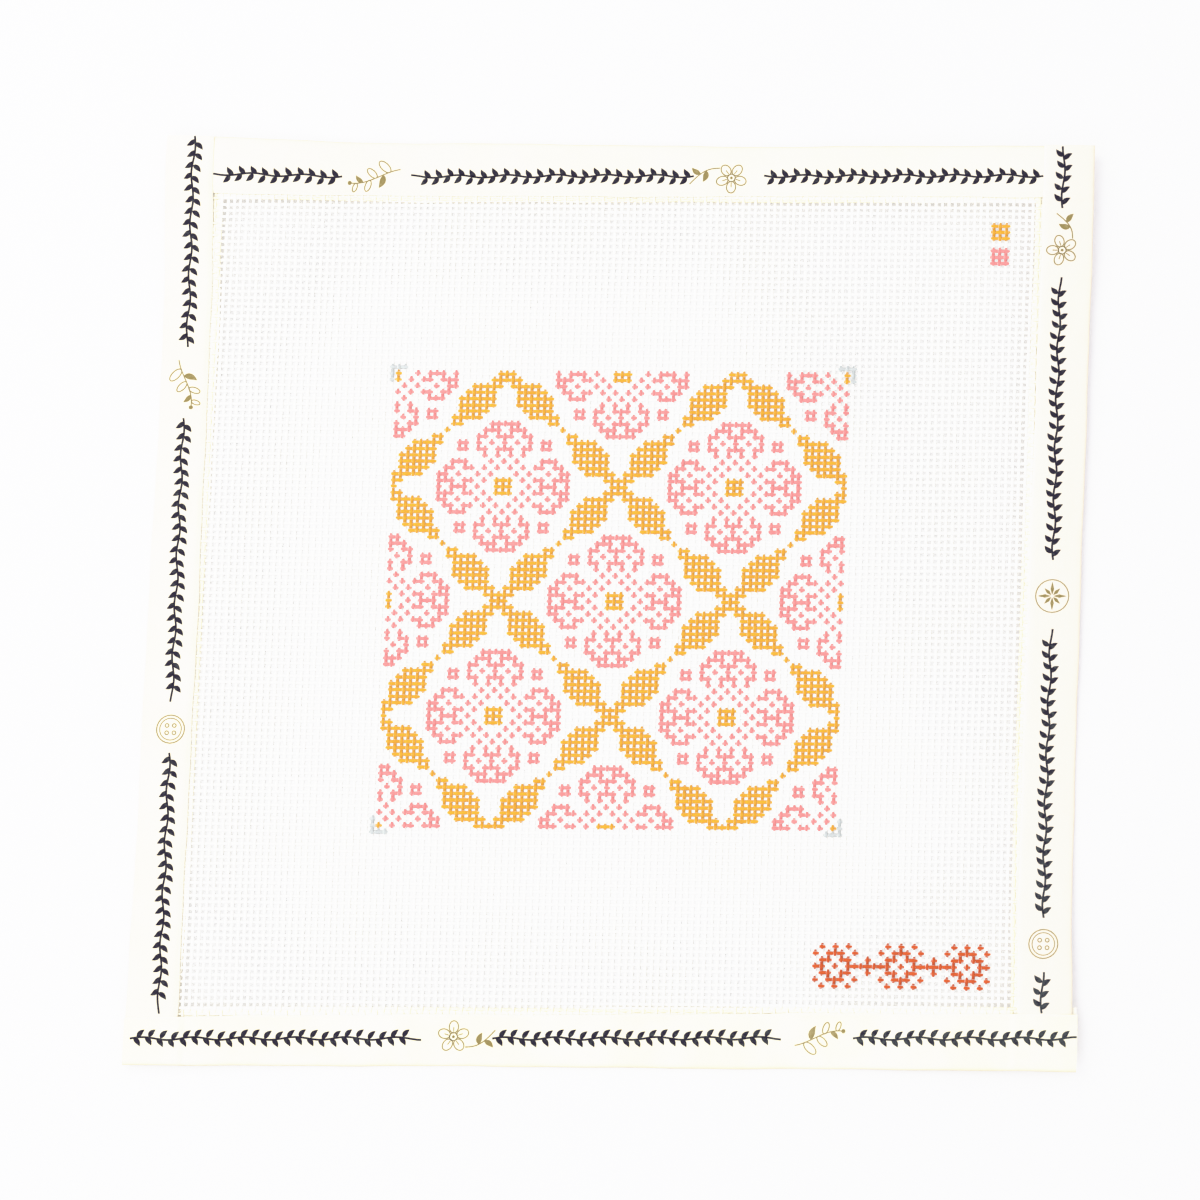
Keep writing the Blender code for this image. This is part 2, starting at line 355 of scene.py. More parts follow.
# ---- The painted chart ----

def eight_fold(chart, right, down):
    """Paint at a crossing out from the middle of a motif of which an eighth is charted."""
    near, far = sorted((abs(right), abs(down)))
    return chart[far][near] if far < len(chart) else "."


def trellis(right, down):
    """Paint of the leafy trellis at a crossing out from the middle of its diamond."""
    from_line = DIAMOND - abs(right) - abs(down)
    from_middle = abs(abs(right) - abs(down))
    in_knot = DIAMOND - from_middle + from_line <= NODE
    on_stem = from_line == 0 and from_middle <= 1
    share = (from_middle - LEAF_MIDDLE) / LEAF_HALF_LENGTH
    in_leaf = from_line <= LEAF_HALF_WIDTH * (1.0 - share * share)
    return "g" if in_knot or on_stem or in_leaf else "."


def field_paint(column, row):
    """Paint of the square design: blossoms in a trellis of diamonds."""
    right, down = column - FIELD_COLUMN, row
    centres = [
        (DIAMOND * a, DIAMOND * b)
        for a in range(-2, 3)
        for b in range(-2, 3)
        if (a + b) % 2 == 0
    ]
    middle = min(centres, key=lambda c: abs(right - c[0]) + abs(down - c[1]))
    right, down = right - middle[0], down - middle[1]
    paint = eight_fold(BLOSSOM, right, down)
    return trellis(right, down) if paint == "." else paint


def garland_paint(column, row):
    """Paint of the small row of stars, with a small cross between each two."""
    right, down = column - GARLAND_COLUMN, row - GARLAND_ROW
    for middle in (-STAR_SPACING, 0, STAR_SPACING):
        paint = eight_fold(STAR, right - middle, down)
        if paint != ".":
            return paint
    from_cross = abs(abs(right) - STAR_SPACING // 2) + abs(down)
    return "r" if from_cross <= 1 else "."


def paint_at(column, row):
    """Paint of one crossing: a letter of PAINTS, or a point for none."""
    if abs(column - FIELD_COLUMN) <= FIELD_HALF and FIELD_TOP <= row <= FIELD_HALF:
        return field_paint(column, row)
    if row > FIELD_HALF + MARK_ARM:
        return garland_paint(column, row)
    if KEY_COLUMN <= column < KEY_COLUMN + KEY_SIZE:
        if KEY_GOLD_ROW <= row < KEY_GOLD_ROW + KEY_SIZE:
            return "g"
        if KEY_PINK_ROW <= row < KEY_PINK_ROW + KEY_SIZE:
            return "p"
    from_side = min(abs(column - MARK_LEFT), abs(column - MARK_RIGHT))
    from_end = min(abs(row - MARK_TOP), abs(row - MARK_BOTTOM))
    inside = MARK_LEFT <= column <= MARK_RIGHT and MARK_TOP <= row <= MARK_BOTTOM
    if inside and min(from_side, from_end) == 0 and max(from_side, from_end) < MARK_ARM:
        return "y"
    return "."


def paint_chart():
    """Cover of each paint at every crossing: columns, rows, paints."""
    columns = UPRIGHT.last - UPRIGHT.first + 1
    rows = LEVEL.last - LEVEL.first + 1
    chart = np.zeros((columns, rows, len(PAINTS)))
    for c in range(columns):
        for r in range(rows):
            paint = paint_at(c + UPRIGHT.first, r + LEVEL.first)
            if paint in PAINTS:
                chart[c, r, PAINTS.index(paint)] = 1.0
    return chart


# ---- The weave ----


def curve_share(place, own, others):
    """Weight of one place in a smooth curve through it and two others."""
    share = np.ones(np.shape(place))
    for other in others:
        share = share * (place - other) / (own - other)
    return share


def weave_place(column, row):
    """Where a crossing lies in plan, with whole or part numbers of threads."""
    x = CENTRE_X + column * UPRIGHT_STEP[0] + row * LEVEL_STEP[0]
    y = CENTRE_Y + column * UPRIGHT_STEP[1] + row * LEVEL_STEP[1]
    for spot in BOWS:
        columns = {other.column for other in BOWS} - {spot.column}
        rows = {other.row for other in BOWS} - {spot.row}
        share = curve_share(column, spot.column, columns) * curve_share(row, spot.row, rows)
        x = x + share * spot.right
        y = y - share * spot.down
    return x, y


def thread_rings(kind, crossed, lines, in_open, chart, random):
    """Rings of some threads of one kind: middles, half sizes, and marks such as their paint."""
    if in_open:
        places = np.concatenate((
            (kind.end_low, crossed.open_first - END_BEND),
            np.arange(crossed.open_first, crossed.open_last + 0.25, 0.5),
            (crossed.open_last + END_BEND, kind.end_high),
        ))
    else:
        places = np.linspace(kind.end_low, kind.end_high, COVERED_RINGS)
    inner = in_open & (places >= crossed.open_first) & (places <= crossed.open_last)
    whole = np.round(places).astype(int)
    crossing = inner & (np.abs(places - whole) < 0.25)
    free = inner & ~crossing
    count = (len(lines), len(places))
    line = np.empty(count)
    width = np.empty(count)
    for index, number in enumerate(lines):
        middle = number + random.normal(0.0, LINE_SPREAD)
        line[index] = middle + waves(places, WANDER_WAVES, wave_starts(random, 3))
        spun = 1.0 + random.normal(0.0, WIDTH_SPREAD)
        width[index] = spun * (1.0 + waves(places, WIDTH_WAVES, wave_starts(random, 2)))
    place = np.broadcast_to(places, count)
    x, y = weave_place(line, place) if kind is UPRIGHT else weave_place(place, line)
    laid_high = 1.0 if kind is UPRIGHT else -1.0
    turn = np.where((np.asarray(lines)[:, None] + whole) % 2 == 0, 1.0, -1.0)
    level = laid_high * np.where(crossing, turn, np.where(free, 0.0, 1.0))
    across, along = find_flat(x, y)
    middles = lay(across, along, level * 0.5 * THREAD_FLAT)
    middles[..., 0] = x
    middles[..., 1] = y
    paint = np.zeros(count + (len(PAINTS),))
    paint[:, inner] = paint_along(kind, crossed, lines, places[inner], chart)
    half_width = np.where(crossing, HALF_WIDTH_CROSSED, HALF_WIDTH_FREE) * width
    half_width = half_width * (1.0 + kind.coat * np.sum(paint, axis=-1))
    half_thick = np.broadcast_to(np.where(free, HALF_THICK_FREE, 0.5 * THREAD_FLAT), count)
    bare = np.broadcast_to(kind.bare * free, count)
    return middles, half_width, half_thick, {
        "paint": paint, "glue": glue_at(across, along), "bare": bare,
    }


def glue_at(across, along):
    """How far glue, partly as painted shade, tints the canvas: most on the under flaps that the upper
    ones leave bare.
    """
    share = np.zeros(np.shape(across))
    for tape in TAPES:
        place, depth = (along, across) if is_upright(tape) else (across, along)
        inward = from_edge(tape, depth)
        front, back = tape_widths(tape, place)
        stuck = smooth(0.5 - (inward - back) / GLUE_FADE)
        # painted light: less tint at the upper flap's edge, where its shade falls
        less_at_edge_shade = between((GLUE_LEAST_AT_EDGE_SHADE, 1.0), smooth((inward - front) / GLUE_RISE))
        share = np.maximum(share, stuck * less_at_edge_shade)
    return share


def paint_along(kind, crossed, lines, places, chart):
    """Cover of each paint at the rings of some threads."""
    if kind is LEVEL:
        chart = chart.swapaxes(0, 1)
    own = chart[np.asarray(lines) - kind.first]
    before = own[:, np.floor(places).astype(int) - crossed.first]
    after = own[:, np.ceil(places).astype(int) - crossed.first]
    drift = -PAINT_DRIFT if kind is UPRIGHT else PAINT_DRIFT
    return 0.5 * (before + after) + drift * (before - after)


def tube_blocks(rings, sideways, first_point, first_row, rows):
    """Points, marks, faces and UVs of a batch of threads, by name."""
    middles, half_width, half_thick, marks = rings
    threads, stations = half_width.shape
    sides = len(SECTION)
    wide, thick, takes = np.array(SECTION).T
    points = np.repeat(middles[:, :, None, :], sides, axis=2)
    points[..., :2] += (half_width[:, :, None] * wide)[..., None] * sideways
    points[..., 2] += half_thick[:, :, None] * thick
    block = {name: np.repeat(values[:, :, None], sides, axis=2) for name, values in marks.items()}
    paint = block["paint"] * takes[:, None]
    number = first_point + np.arange(threads * stations * sides).reshape(threads, stations, sides)
    after = np.roll(number, -1, axis=2)
    quads = np.stack((number[:, :-1], after[:, :-1], after[:, 1:], number[:, 1:]), axis=-1)
    steps = np.linalg.norm(np.diff(middles, axis=1), axis=2)
    run = np.concatenate((np.zeros((threads, 1)), np.cumsum(steps, axis=1)), axis=1)
    t, s, k, _ = np.ogrid[:threads, :stations - 1, :sides, :1]
    t, s, k = np.broadcast_arrays(t, s + CORNER_AFTER, k + CORNER_ASIDE)
    real = np.stack((run[t, s], k / sides), axis=-1)
    bake_u = between(THREAD_SPAN, s / (stations - 1))
    bake_v = (first_row + t + between(THREAD_BAND, k / sides)) / rows
    start_caps, end_caps = [cap_corners(first_row, threads, rows, u) for u in THREAD_CAPS]
    return {
        "points": points.reshape(-1, 3),
        "paint": paint.reshape(-1, len(PAINTS)),
        "glue": block["glue"].ravel(),
        "bare": block["bare"].ravel(),
        "quads": quads.reshape(-1, 4),
        "caps": np.concatenate((number[:, 0, ::-1], number[:, -1])),
        "real": real.reshape(-1, 2),
        "bake": np.stack((bake_u, bake_v), axis=-1).reshape(-1, 2),
        "cap_bake": np.concatenate((start_caps[:, ::-1], end_caps)).reshape(-1, 2),
    }


def cap_corners(first_row, threads, rows, middle):
    """UVs of the threads' end caps: a small six-sided shape each."""
    angle = np.arange(len(SECTION)) * 2.0 * math.pi / len(SECTION)
    half_width, half_height = THREAD_CAP_SIZE
    u = middle + half_width * np.cos(angle)
    v = (first_row + np.arange(threads)[:, None] + 0.5 + half_height * np.sin(angle)) / rows
    return np.stack((np.broadcast_to(u, v.shape), v), axis=-1)


def make_thread_piece(number, batches, material):
    """One piece of the canvas: its share of the upright and level threads."""
    rows = sum(len(rings[1]) for rings, _ in batches)
    blocks = []
    first_point, first_row = 0, 0
    for rings, sideways in batches:
        blocks.append(tube_blocks(rings, sideways, first_point, first_row, rows))
        first_point += len(blocks[-1]["points"])
        first_row += len(rings[1])
    whole = {name: np.concatenate([block[name] for block in blocks]) for name in blocks[0]}
    maps = {
        "OFBake": np.concatenate((whole["bake"], whole["cap_bake"])),
        "Thread": np.concatenate((whole["real"], np.zeros(whole["cap_bake"].shape))),
    }
    name = f"canvas_threads_{number + 1}"
    piece = mesh_object(name, whole["points"], [whole["quads"], whole["caps"]], maps)
    for mark in ("paint", "glue", "bare"):
        mark_points(piece.data, mark, whole[mark])
    piece.data.materials.append(material)
    return piece


def make_canvas(material):
    """All threads of the canvas, shared out among the pieces by their numbers."""
    chart = paint_chart()
    shares = [[] for _ in range(PIECES)]
    for kind, crossed, step in ((UPRIGHT, LEVEL, UPRIGHT_STEP), (LEVEL, UPRIGHT, LEVEL_STEP)):
        random = np.random.default_rng(SEED + kind.last)
        sideways = np.array(step) / math.hypot(*step)
        if kind is LEVEL:
            sideways = -sideways
        for share, batches in enumerate(shares):
            numbers = [n for n in range(kind.first, kind.last + 1) if n % PIECES == share]
            for in_open in (True, False):
                lines = [
                    n for n in numbers
                    if (kind.open_first <= n <= kind.open_last) == in_open
                ]
                rings = thread_rings(kind, crossed, lines, in_open, chart, random)
                batches.append((rings, sideways))
    return [make_thread_piece(number, batches, material) for number, batches in enumerate(shares)]


# ---- The tapes ----

TAPE_NAMED = {tape.name: tape for tape in TAPES}


def is_upright(tape):
    """Whether a tape binds the left or the right edge."""
    return tape.side in ("left", "right")


def tape_length(tape):
    """Length of the canvas's edge that a tape binds."""
    return CANVAS_LENGTH if is_upright(tape) else CANVAS_WIDTH


def from_edge(tape, distance):
    """A distance in from a tape's edge as one from the left or bottom edge, or the other way."""
    if tape.side in ("left", "bottom"):
        return distance
    return (CANVAS_WIDTH if tape.side == "right" else CANVAS_LENGTH) - distance


def on_canvas(tape, place, inward, high):
    """Lay places given along a bound edge and inward from the canvas's cut edge."""
    depth = from_edge(tape, inward)
    return lay(depth, place, high) if is_upright(tape) else lay(place, depth, high)


def tape_widths(tape, place):
    """Widths of the upper and the under flap from the canvas's cut edge."""
    share = place / tape_length(tape)
    front = between((tape.front_start, tape.front_end), share) - tape.bow * arch(share)
    back = between((tape.back_start, tape.back_end), share)
    return front - FOLD_OUT, back - FOLD_OUT


def lap_length(name):
    """Length of the level lap over the tape of that name, from the canvas's cut edge."""
    tape = TAPE_NAMED[name]
    widest = max(tape.front_start, tape.front_end, tape.back_start, tape.back_end)
    return widest - FOLD_OUT + LAP_CLEAR


def tape_layers(tape, place, inward):
    """How many layers of tape lie on each face of the canvas here, this tape being the last."""
    layers = np.ones(np.shape(place))
    ends = ((tape.under_start, place), (tape.under_end, tape_length(tape) - place))
    for name, from_end in ends:
        if name:
            covered = tape_widths(TAPE_NAMED[name], from_edge(tape, inward))[0]
            layers = layers + smooth(1.0 - (from_end - covered - LAP_CLEAR) / LAP_RAMP)
    return layers


class TapeShape:
    """The uneven lie of one tape: its edges' waves and its surface's puckers."""

    def __init__(self, tape, seed):
        self.tape = tape
        self.starts = wave_starts(np.random.default_rng(seed), 4, 3)

    def edges(self, place):
        """Inward places of the upper flap's edge and the under flap's, and the fold's depth."""
        front, back = tape_widths(self.tape, place)
        front = front + waves(place, EDGE_WAVES, self.starts[0])
        back = back + waves(place, EDGE_WAVES, self.starts[1])
        fold = FOLD_OUT + FOLD_WAVED * waves(place, EDGE_WAVES, self.starts[2])
        return front, back, fold

    def pucker(self, place, inward):
        """Height of the upper flap's puckers: none at its edge and its fold."""
        front, _, _ = self.edges(place)
        largest = sum(size for _, size in PUCKER_WAVES)
        uneven = waves(place + PUCKER_SLANT * inward, PUCKER_WAVES, self.starts[3]) / largest
        return PUCKER_HEIGHT * arch(inward / front) * np.maximum(PUCKER_EVEN + uneven, 0.0)

    def upper(self, place, inward):
        """Height of the upper flap's outer surface above the middle of the canvas."""
        layers = tape_layers(self.tape, place, inward)
        level = 0.5 * CLOTH + AIR + (layers - 1.0) * LAYER + TAPE_SHEET
        return level + self.pucker(place, inward)


def tape_stations(tape):
    """Stations along a tape: fine on and beside its ramps."""
    length = tape_length(tape)
    marks = [-tape.past_start, length + tape.past_end]
    for name, end, turn in ((tape.under_start, 0.0, 1.0), (tape.under_end, length, -1.0)):
        if name:
            ramp = lap_length(name)
            marks += [end + turn * (ramp - LAP_REACH), end + turn * (ramp + LAP_RAMP)]
    marks.sort()
    stations = []
    for low, high in zip(marks, marks[1:]):
        step = LAP_STEP if high - low < FINE_STRETCH else TAPE_STEP
        count = max(1, math.ceil((high - low) / step))
        stations += [between((low, high), index / count) for index in range(count)]
    return np.array(stations + marks[-1:])


def fold_curve(turn):
    """Share of the fold's depth and height, from half a turn above to half below: a pressed fold."""
    across, up = math.cos(math.pi * turn), math.sin(math.pi * turn)
    reach = max(across, 0.0) ** FOLD_SQUARENESS if abs(turn) < 0.5 else 0.0
    return reach, math.copysign(abs(up) ** FOLD_SQUARENESS, up)


def tape_outline(shape, place):
    """Closed outlines of the folded tape at its stations: inward, high, and painted shade with grime by
    point.
    """
    front, back, fold = shape.edges(place)
    layers = tape_layers(shape.tape, place, np.full(place.shape, UNDER_INWARD))
    under = 0.5 * CLOTH + AIR + (layers - 1.0) * LAYER
    top = shape.upper(place, np.zeros(place.shape))
    outline = []

    def add(inward, high, rim_shade_and_grime=0.0):
        outline.append((inward, high, rim_shade_and_grime))

    def add_fold(turn, sheet, rim_shade_and_grime):
        """The fold's outside from above, or turned round its inside, a sheet further in."""
        for step in range(FOLD_STEPS + 1):
            reach, rise = fold_curve(turn * (0.5 - step / FOLD_STEPS))
            height = (top if rise > 0 else under + TAPE_SHEET) - sheet
            add(-(fold - sheet) * reach, height * rise, rim_shade_and_grime * reach ** SHADE_AND_GRIME_DROP)

    for share in reversed(FLAP_SHARES):
        worn = EDGE_WORN if share == 1.0 else 0.0
        add(front * share, shape.upper(place, front * share) - worn)
    # painted shade, with some grime, on the outside of the fold
    add_fold(1.0, 0.0, shape.tape.soiled)
    for share in FLAP_SHARES:
        add(back * share, -(under + TAPE_SHEET))
    for share in reversed(FLAP_SHARES):
        add(back * share, PRESSED - under)
    add_fold(-1.0, TAPE_SHEET, 0.0)
    for share in FLAP_SHARES:
        add(front * share, shape.upper(place, front * share) - TAPE_SHEET)
    inward, high, soil = zip(*outline)
    return np.stack(inward, axis=1), np.stack(high, axis=1), np.array(soil)


def make_tape(shape, material):
    """One length of binding tape, folded over its edge of the canvas, and its flat size."""
    tape = shape.tape
    place = tape_stations(tape)
    inward, high, soil = tape_outline(shape, place)
    points = on_canvas(tape, place[:, None], inward, high)
    stations, count = inward.shape
    half = count // 2
    number = np.arange(stations * count).reshape(stations, count)
    after = np.roll(number, -1, axis=1)
    quads = np.stack((number[:-1], after[:-1], after[1:], number[1:]), axis=-1).reshape(-1, 4)
    outer, inner = number[:, :half], number[:, :half - 1:-1]
    caps = []
    for end, turn in ((0, 1), (-1, -1)):
        cap = np.stack((outer[end, :-1], inner[end, :-1], inner[end, 1:], outer[end, 1:]), axis=-1)
        caps.append(cap[:, ::turn])
    if tape.side in ("left", "top"):
        quads = quads[:, ::-1]
        caps = [cap[:, ::-1] for cap in caps]
    steps = np.linalg.norm(np.diff(points[stations // 2], axis=0), axis=1)
    run = np.concatenate(([0.0], np.cumsum(steps), [np.sum(steps) + TAPE_SHEET]))
    real, bake = tape_uvs(quads, place, run)
    cap_bake = cap_uvs(half)
    maps = {
        "OFBake": np.concatenate((bake, cap_bake)),
        "Tape": np.concatenate((real, np.zeros(cap_bake.shape))),
    }
    piece = mesh_object(tape.name + "_cloth", points.reshape(-1, 3), [quads] + caps, maps, TAPE_CREASE)
    mark_points(piece.data, "soil", np.tile(soil, stations))
    piece.data.materials.append(material)
    front, back, _ = shape.edges(place)
    flat_width = float(np.mean(front + back)) + math.pi * 0.5 * (FOLD_OUT + CLOTH)
    return piece, (flat_width, float(place[-1] - place[0]))


def tape_uvs(quads, place, run):
    """Real sizes along and round a tape at its faces' corners, and their room in the baked map.

    Round its inside the real sizes count down from 0, so that they are below 0 there.
    """
    count = len(run) - 1
    spot = quads % count
    closing = np.ptp(spot, axis=1) == count - 1
    around = np.where((spot == 0) & closing[:, None], run[-1], run[spot])
    along = place[quads // count]
    bake_u = between(TAPE_SPAN, (along - place[0]) / (place[-1] - place[0]))
    bake = np.stack((bake_u, between(TAPE_BAND, around / run[-1])), axis=-1)
    inside = np.all((spot >= count // 2) | (around == run[-1]), axis=1)
    real = np.stack((along, around - run[-1] * inside[:, None]), axis=-1)
    return real.reshape(-1, 2), bake.reshape(-1, 2)


def cap_uvs(half):
    """UVs of a tape's two end caps, in narrow strips of their own."""
    v = between(TAPE_BAND, (np.arange(half - 1)[:, None] + CORNER_AFTER) / half)
    strips = [
        np.stack((np.broadcast_to(left + TAPE_CAP_WIDTH * np.array(CORNER_ASIDE), v.shape), v), axis=-1)
        for left in TAPE_CAPS
    ]
    return np.concatenate(strips).reshape(-1, 2)


# ---- The print on the tapes ----

# side: the tape's. kind: vine, or a gold motif. start, end: places along the tape
# centre_start, centre_end: the print's middle line, from the outside of the fold
Print = namedtuple("Print", "side kind start end centre_start centre_end")
# The rows' sizes are in millimetres.
PRINTS = [Print(side, kind, *(size * MM for size in sizes)) for side, kind, *sizes in (
    ("bottom", "vine", -0.4, 62.7, 5.7, 6.0),
    ("bottom", "flower", 64.6, 78.7, 6.0, 6.1),
    ("bottom", "vine", 78.1, 140.6, 6.1, 6.6),
    ("bottom", "sprig", 143.6, 154.0, 6.6, 6.7),
    ("bottom", "vine", 156.1, 203.2, 6.7, 7.2),
    ("top", "vine", 8.7, 36.4, 8.6, 8.0),
    ("top", "sprig", 38.1, 49.2, 7.9, 7.7),
    ("top", "vine", 51.6, 114.3, 7.7, 7.0),
    ("top", "flower", 113.4, 127.8, 7.0, 6.9),
    ("top", "vine", 129.8, 191.0, 6.9, 6.9),
    ("left", "vine", 154.7, 201.0, 5.5, 6.2),
    ("left", "sprig", 141.3, 151.8, 5.6, 5.5),
    ("left", "vine", 76.4, 138.9, 6.3, 5.6),
    ("left", "button", 67.4, 73.5, 6.4, 6.4),
    ("left", "vine", 9.2, 65.3, 7.2, 6.4),
    ("right", "vine", 187.2, 201.0, 7.0, 7.1),
    ("right", "flower", 173.2, 186.0, 6.3, 6.4),
    ("right", "vine", 109.1, 171.8, 6.4, 6.9),
    ("right", "star", 96.5, 105.8, 6.3, 6.4),
    ("right", "vine", 31.1, 93.9, 6.2, 6.3),
    ("right", "button", 22.1, 28.9, 6.4, 6.2),
    ("right", "vine", 10.7, 19.5, 6.7, 6.5),
)]
VINE_HALF = 1.9 * MM            # half height of the vine's band
VINE_WAVE = 11.0 * MM
VINE_SWING = 0.30 * MM
VINE_LINE = 0.42 * MM
LEAF_SPACING = 2.5 * MM
LEAF_LENGTH = 2.3 * MM
LEAF_WIDTH = 1.05 * MM
LEAF_LEAN = math.radians(50.0)
VINE_STEP = 0.5 * MM            # between the stem's points
GOLD_LINE = 0.22 * MM
GOLD_THIN = 0.20 * MM
GOLD_FINE = 0.18 * MM
DOT_LINE = 0.04 * MM            # least width of a dot, at its ends
LEAF_TIP = 0.05 * MM            # least width of a leaf, at its ends


def toward(angle):
    """A step of length 1 at an angle, or a row of such steps."""
    return np.stack((np.cos(angle), np.sin(angle)), axis=-1)


def stroke(points, widths, closed=False):
    """A flat ribbon along a line: its left and right edges, and whether it closes on itself."""
    points = np.asarray(points, float)
    widths = np.broadcast_to(widths, (len(points),))
    if closed:
        before, after = np.roll(points, 1, axis=0), np.roll(points, -1, axis=0)
    else:
        before = np.concatenate((points[:1], points[:-1]))
        after = np.concatenate((points[1:], points[-1:]))
    heading = after - before
    heading = heading / np.linalg.norm(heading, axis=1)[:, None]
    normal = np.stack((-heading[:, 1], heading[:, 0]), axis=1)
    half = 0.5 * widths[:, None] * normal
    return points + half, points - half, closed


def leaf(foot, angle, length, width, steps=6):
    """A filled pointed leaf from its foot, bent a little."""
    share = np.linspace(0.0, 1.0, steps + 1)
    bend = 0.10 * length * np.sin(math.pi * share)
    points = foot + share[:, None] * length * toward(angle)
    points = points + bend[:, None] * toward(angle + 0.5 * math.pi)
    return stroke(points, width * np.sin(math.pi * share ** 0.8) + LEAF_TIP)


def loop(middle, radius_x, radius_y, line=GOLD_LINE, turn=0.0, steps=24):
    """An outlined ellipse."""
    round_it = toward(np.arange(steps) * 2.0 * math.pi / steps) * (radius_x, radius_y)
    sides = np.stack((toward(turn), toward(turn + 0.5 * math.pi)))
    return stroke(middle + round_it @ sides, line, closed=True)


def dot(middle, radius, steps=6):
    """A small filled round spot."""
    share = np.linspace(-1.0, 1.0, steps + 1)
    points = middle + share[:, None] * (radius, 0.0)
    return stroke(points, 2.0 * radius * np.sqrt(1.0 - share * share) + DOT_LINE)


def vine_swing(along):
    """How far the vine's stem stands off its middle line."""
    return VINE_SWING * np.sin(2.0 * math.pi * along / VINE_WAVE)


def draw_vine(length):
    """A running stem with filled leaves on both sides."""
    count = max(2, int(length / VINE_STEP))
    along = np.linspace(0.0, length, count + 1)
    parts = [stroke(np.stack((along, vine_swing(along)), axis=1), VINE_LINE)]
    pairs = int((length - LEAF_LENGTH * 0.5) / LEAF_SPACING)
    for index in range(pairs):
        at = (index + 0.3) * LEAF_SPACING
        swing = vine_swing(at)
        for side in (-1.0, 1.0):
            foot = np.array((at + 0.35 * LEAF_SPACING * (side > 0), swing))
            size = min(LEAF_LENGTH, (VINE_HALF - side * swing) / math.sin(LEAF_LEAN))
            parts.append(leaf(foot, side * LEAF_LEAN, size, LEAF_WIDTH))
    return parts


def draw_flower(length):
    """A five-petalled flower with two leaves on a stem."""
    middle = np.array((0.36 * length, 0.4 * MM))
    parts = [loop(middle, 0.85 * MM, 0.85 * MM), dot(middle, 0.3 * MM)]
    for index in range(5):
        angle = math.radians(90.0 + 72.0 * index)
        out = 2.1 * MM * toward(angle)
        parts.append(loop(middle + out, 1.3 * MM, 1.0 * MM, turn=angle))
        parts.append(stroke((middle + 0.5 * out, middle + out), GOLD_FINE))
    share = np.linspace(0.0, 1.0, 12)
    foot = middle + (2.6 * MM, -2.2 * MM)
    tip = np.array((length, 1.8 * MM))
    stem = foot + share[:, None] * (tip - foot)
    stem[:, 1] -= 1.1 * MM * np.sin(math.pi * share)
    parts.append(stroke(stem, GOLD_LINE))
    parts.append(leaf(stem[5], math.radians(75.0), 2.6 * MM, 1.2 * MM))
    parts.append(leaf(stem[7], math.radians(-35.0), 2.4 * MM, 1.1 * MM))
    return parts


def draw_sprig(length):
    """A bending sprig with leaves on both sides, two outlined after each filled one."""
    share = np.linspace(0.0, 1.0, 16)
    stem = np.stack((share * length, 1.6 * MM * np.sin(math.pi * (share - 0.4))), axis=1)
    parts = [stroke(stem, GOLD_LINE)]
    for index, foot in enumerate(stem[3:14:2]):
        side = 1.0 if index % 2 else -1.0
        angle = side * math.radians(58.0) + 0.25
        size = (3.4 - 0.28 * index) * MM
        if index % 3 == 1:
            parts.append(leaf(foot, angle, size, 0.42 * size))
        else:
            middle = foot + 0.5 * size * toward(angle)
            parts.append(loop(middle, 0.5 * size, 0.24 * size, turn=angle))
    parts.append(dot(stem[-1], 0.45 * MM))
    return parts


def draw_button(length):
    """A round button with a rim and four holes."""
    middle = np.array((0.5 * length, 0.0))
    radius = min(0.5 * length, 3.1 * MM)
    parts = [
        loop(middle, radius, radius),
        loop(middle, 0.78 * radius, 0.78 * radius, GOLD_FINE),
    ]
    for x in (-0.26, 0.26):
        for y in (-0.26, 0.26):
            parts.append(loop(middle + radius * np.array((x, y)), 0.4 * MM, 0.4 * MM, GOLD_THIN))
    return parts


def draw_star(length):
    """An eight-pointed star of filled diamonds in a thin round line."""
    middle = np.array((0.5 * length, 0.0))
    parts = [loop(middle, 3.6 * MM, 3.6 * MM, GOLD_THIN)]
    for index in range(8):
        size = (2.7 if index % 2 == 0 else 2.0) * MM
        out = 0.35 * MM + np.array((0.0, 0.45, 1.0)) * size
        points = middle + out[:, None] * toward(index * 0.25 * math.pi)
        parts.append(stroke(points, np.array((0.06, 0.75, 0.06)) * MM))
    return parts


DRAWINGS = {
    "vine": draw_vine,
    "flower": draw_flower,
    "sprig": draw_sprig,
    "button": draw_button,
    "star": draw_star,
}


def print_solid(shape, printed, part, first):
    """Lay a drawn ribbon on a tape's upper flap as a thin closed solid: points, faces, UVs."""
    tape = shape.tape
    left, right, closed = part
    span = printed.end - printed.start
    points, faces, uvs = [], [], []
    for edge in (left, 0.5 * (left + right), right):
        run = edge[:, 0] if tape.side in ("bottom", "right") else span - edge[:, 0]
        place = printed.start + run
        centre = between((printed.centre_start, printed.centre_end), run / span)
        inward = centre - FOLD_OUT + edge[:, 1]
        top = shape.upper(place, inward)
        for above in (PRINT_ABOVE, -PRINT_BELOW):
            points.append(on_canvas(tape, place, inward, top + above))
            uvs.append(np.stack((place, inward), axis=1))
    count = len(left)
    number = first + np.arange(6 * count).reshape(6, count)
    outline = [number[row] for row in (0, 2, 4, 5, 3, 1)]
    index = np.arange(count if closed else count - 1)
    after = (index + 1) % count
    for here, there in zip(outline, outline[1:] + outline[:1]):
        faces.append(np.stack((here[index], there[index], there[after], here[after]), axis=1))
    if not closed:
        for end, turn in ((0, -1), (-1, 1)):
            corners = [row[end] for row in outline]
            halves = (corners[:2] + corners[4:], corners[1:5])
            faces.append(np.array([half[::turn] for half in halves]))
    return np.concatenate(points), np.concatenate(faces), np.concatenate(uvs)


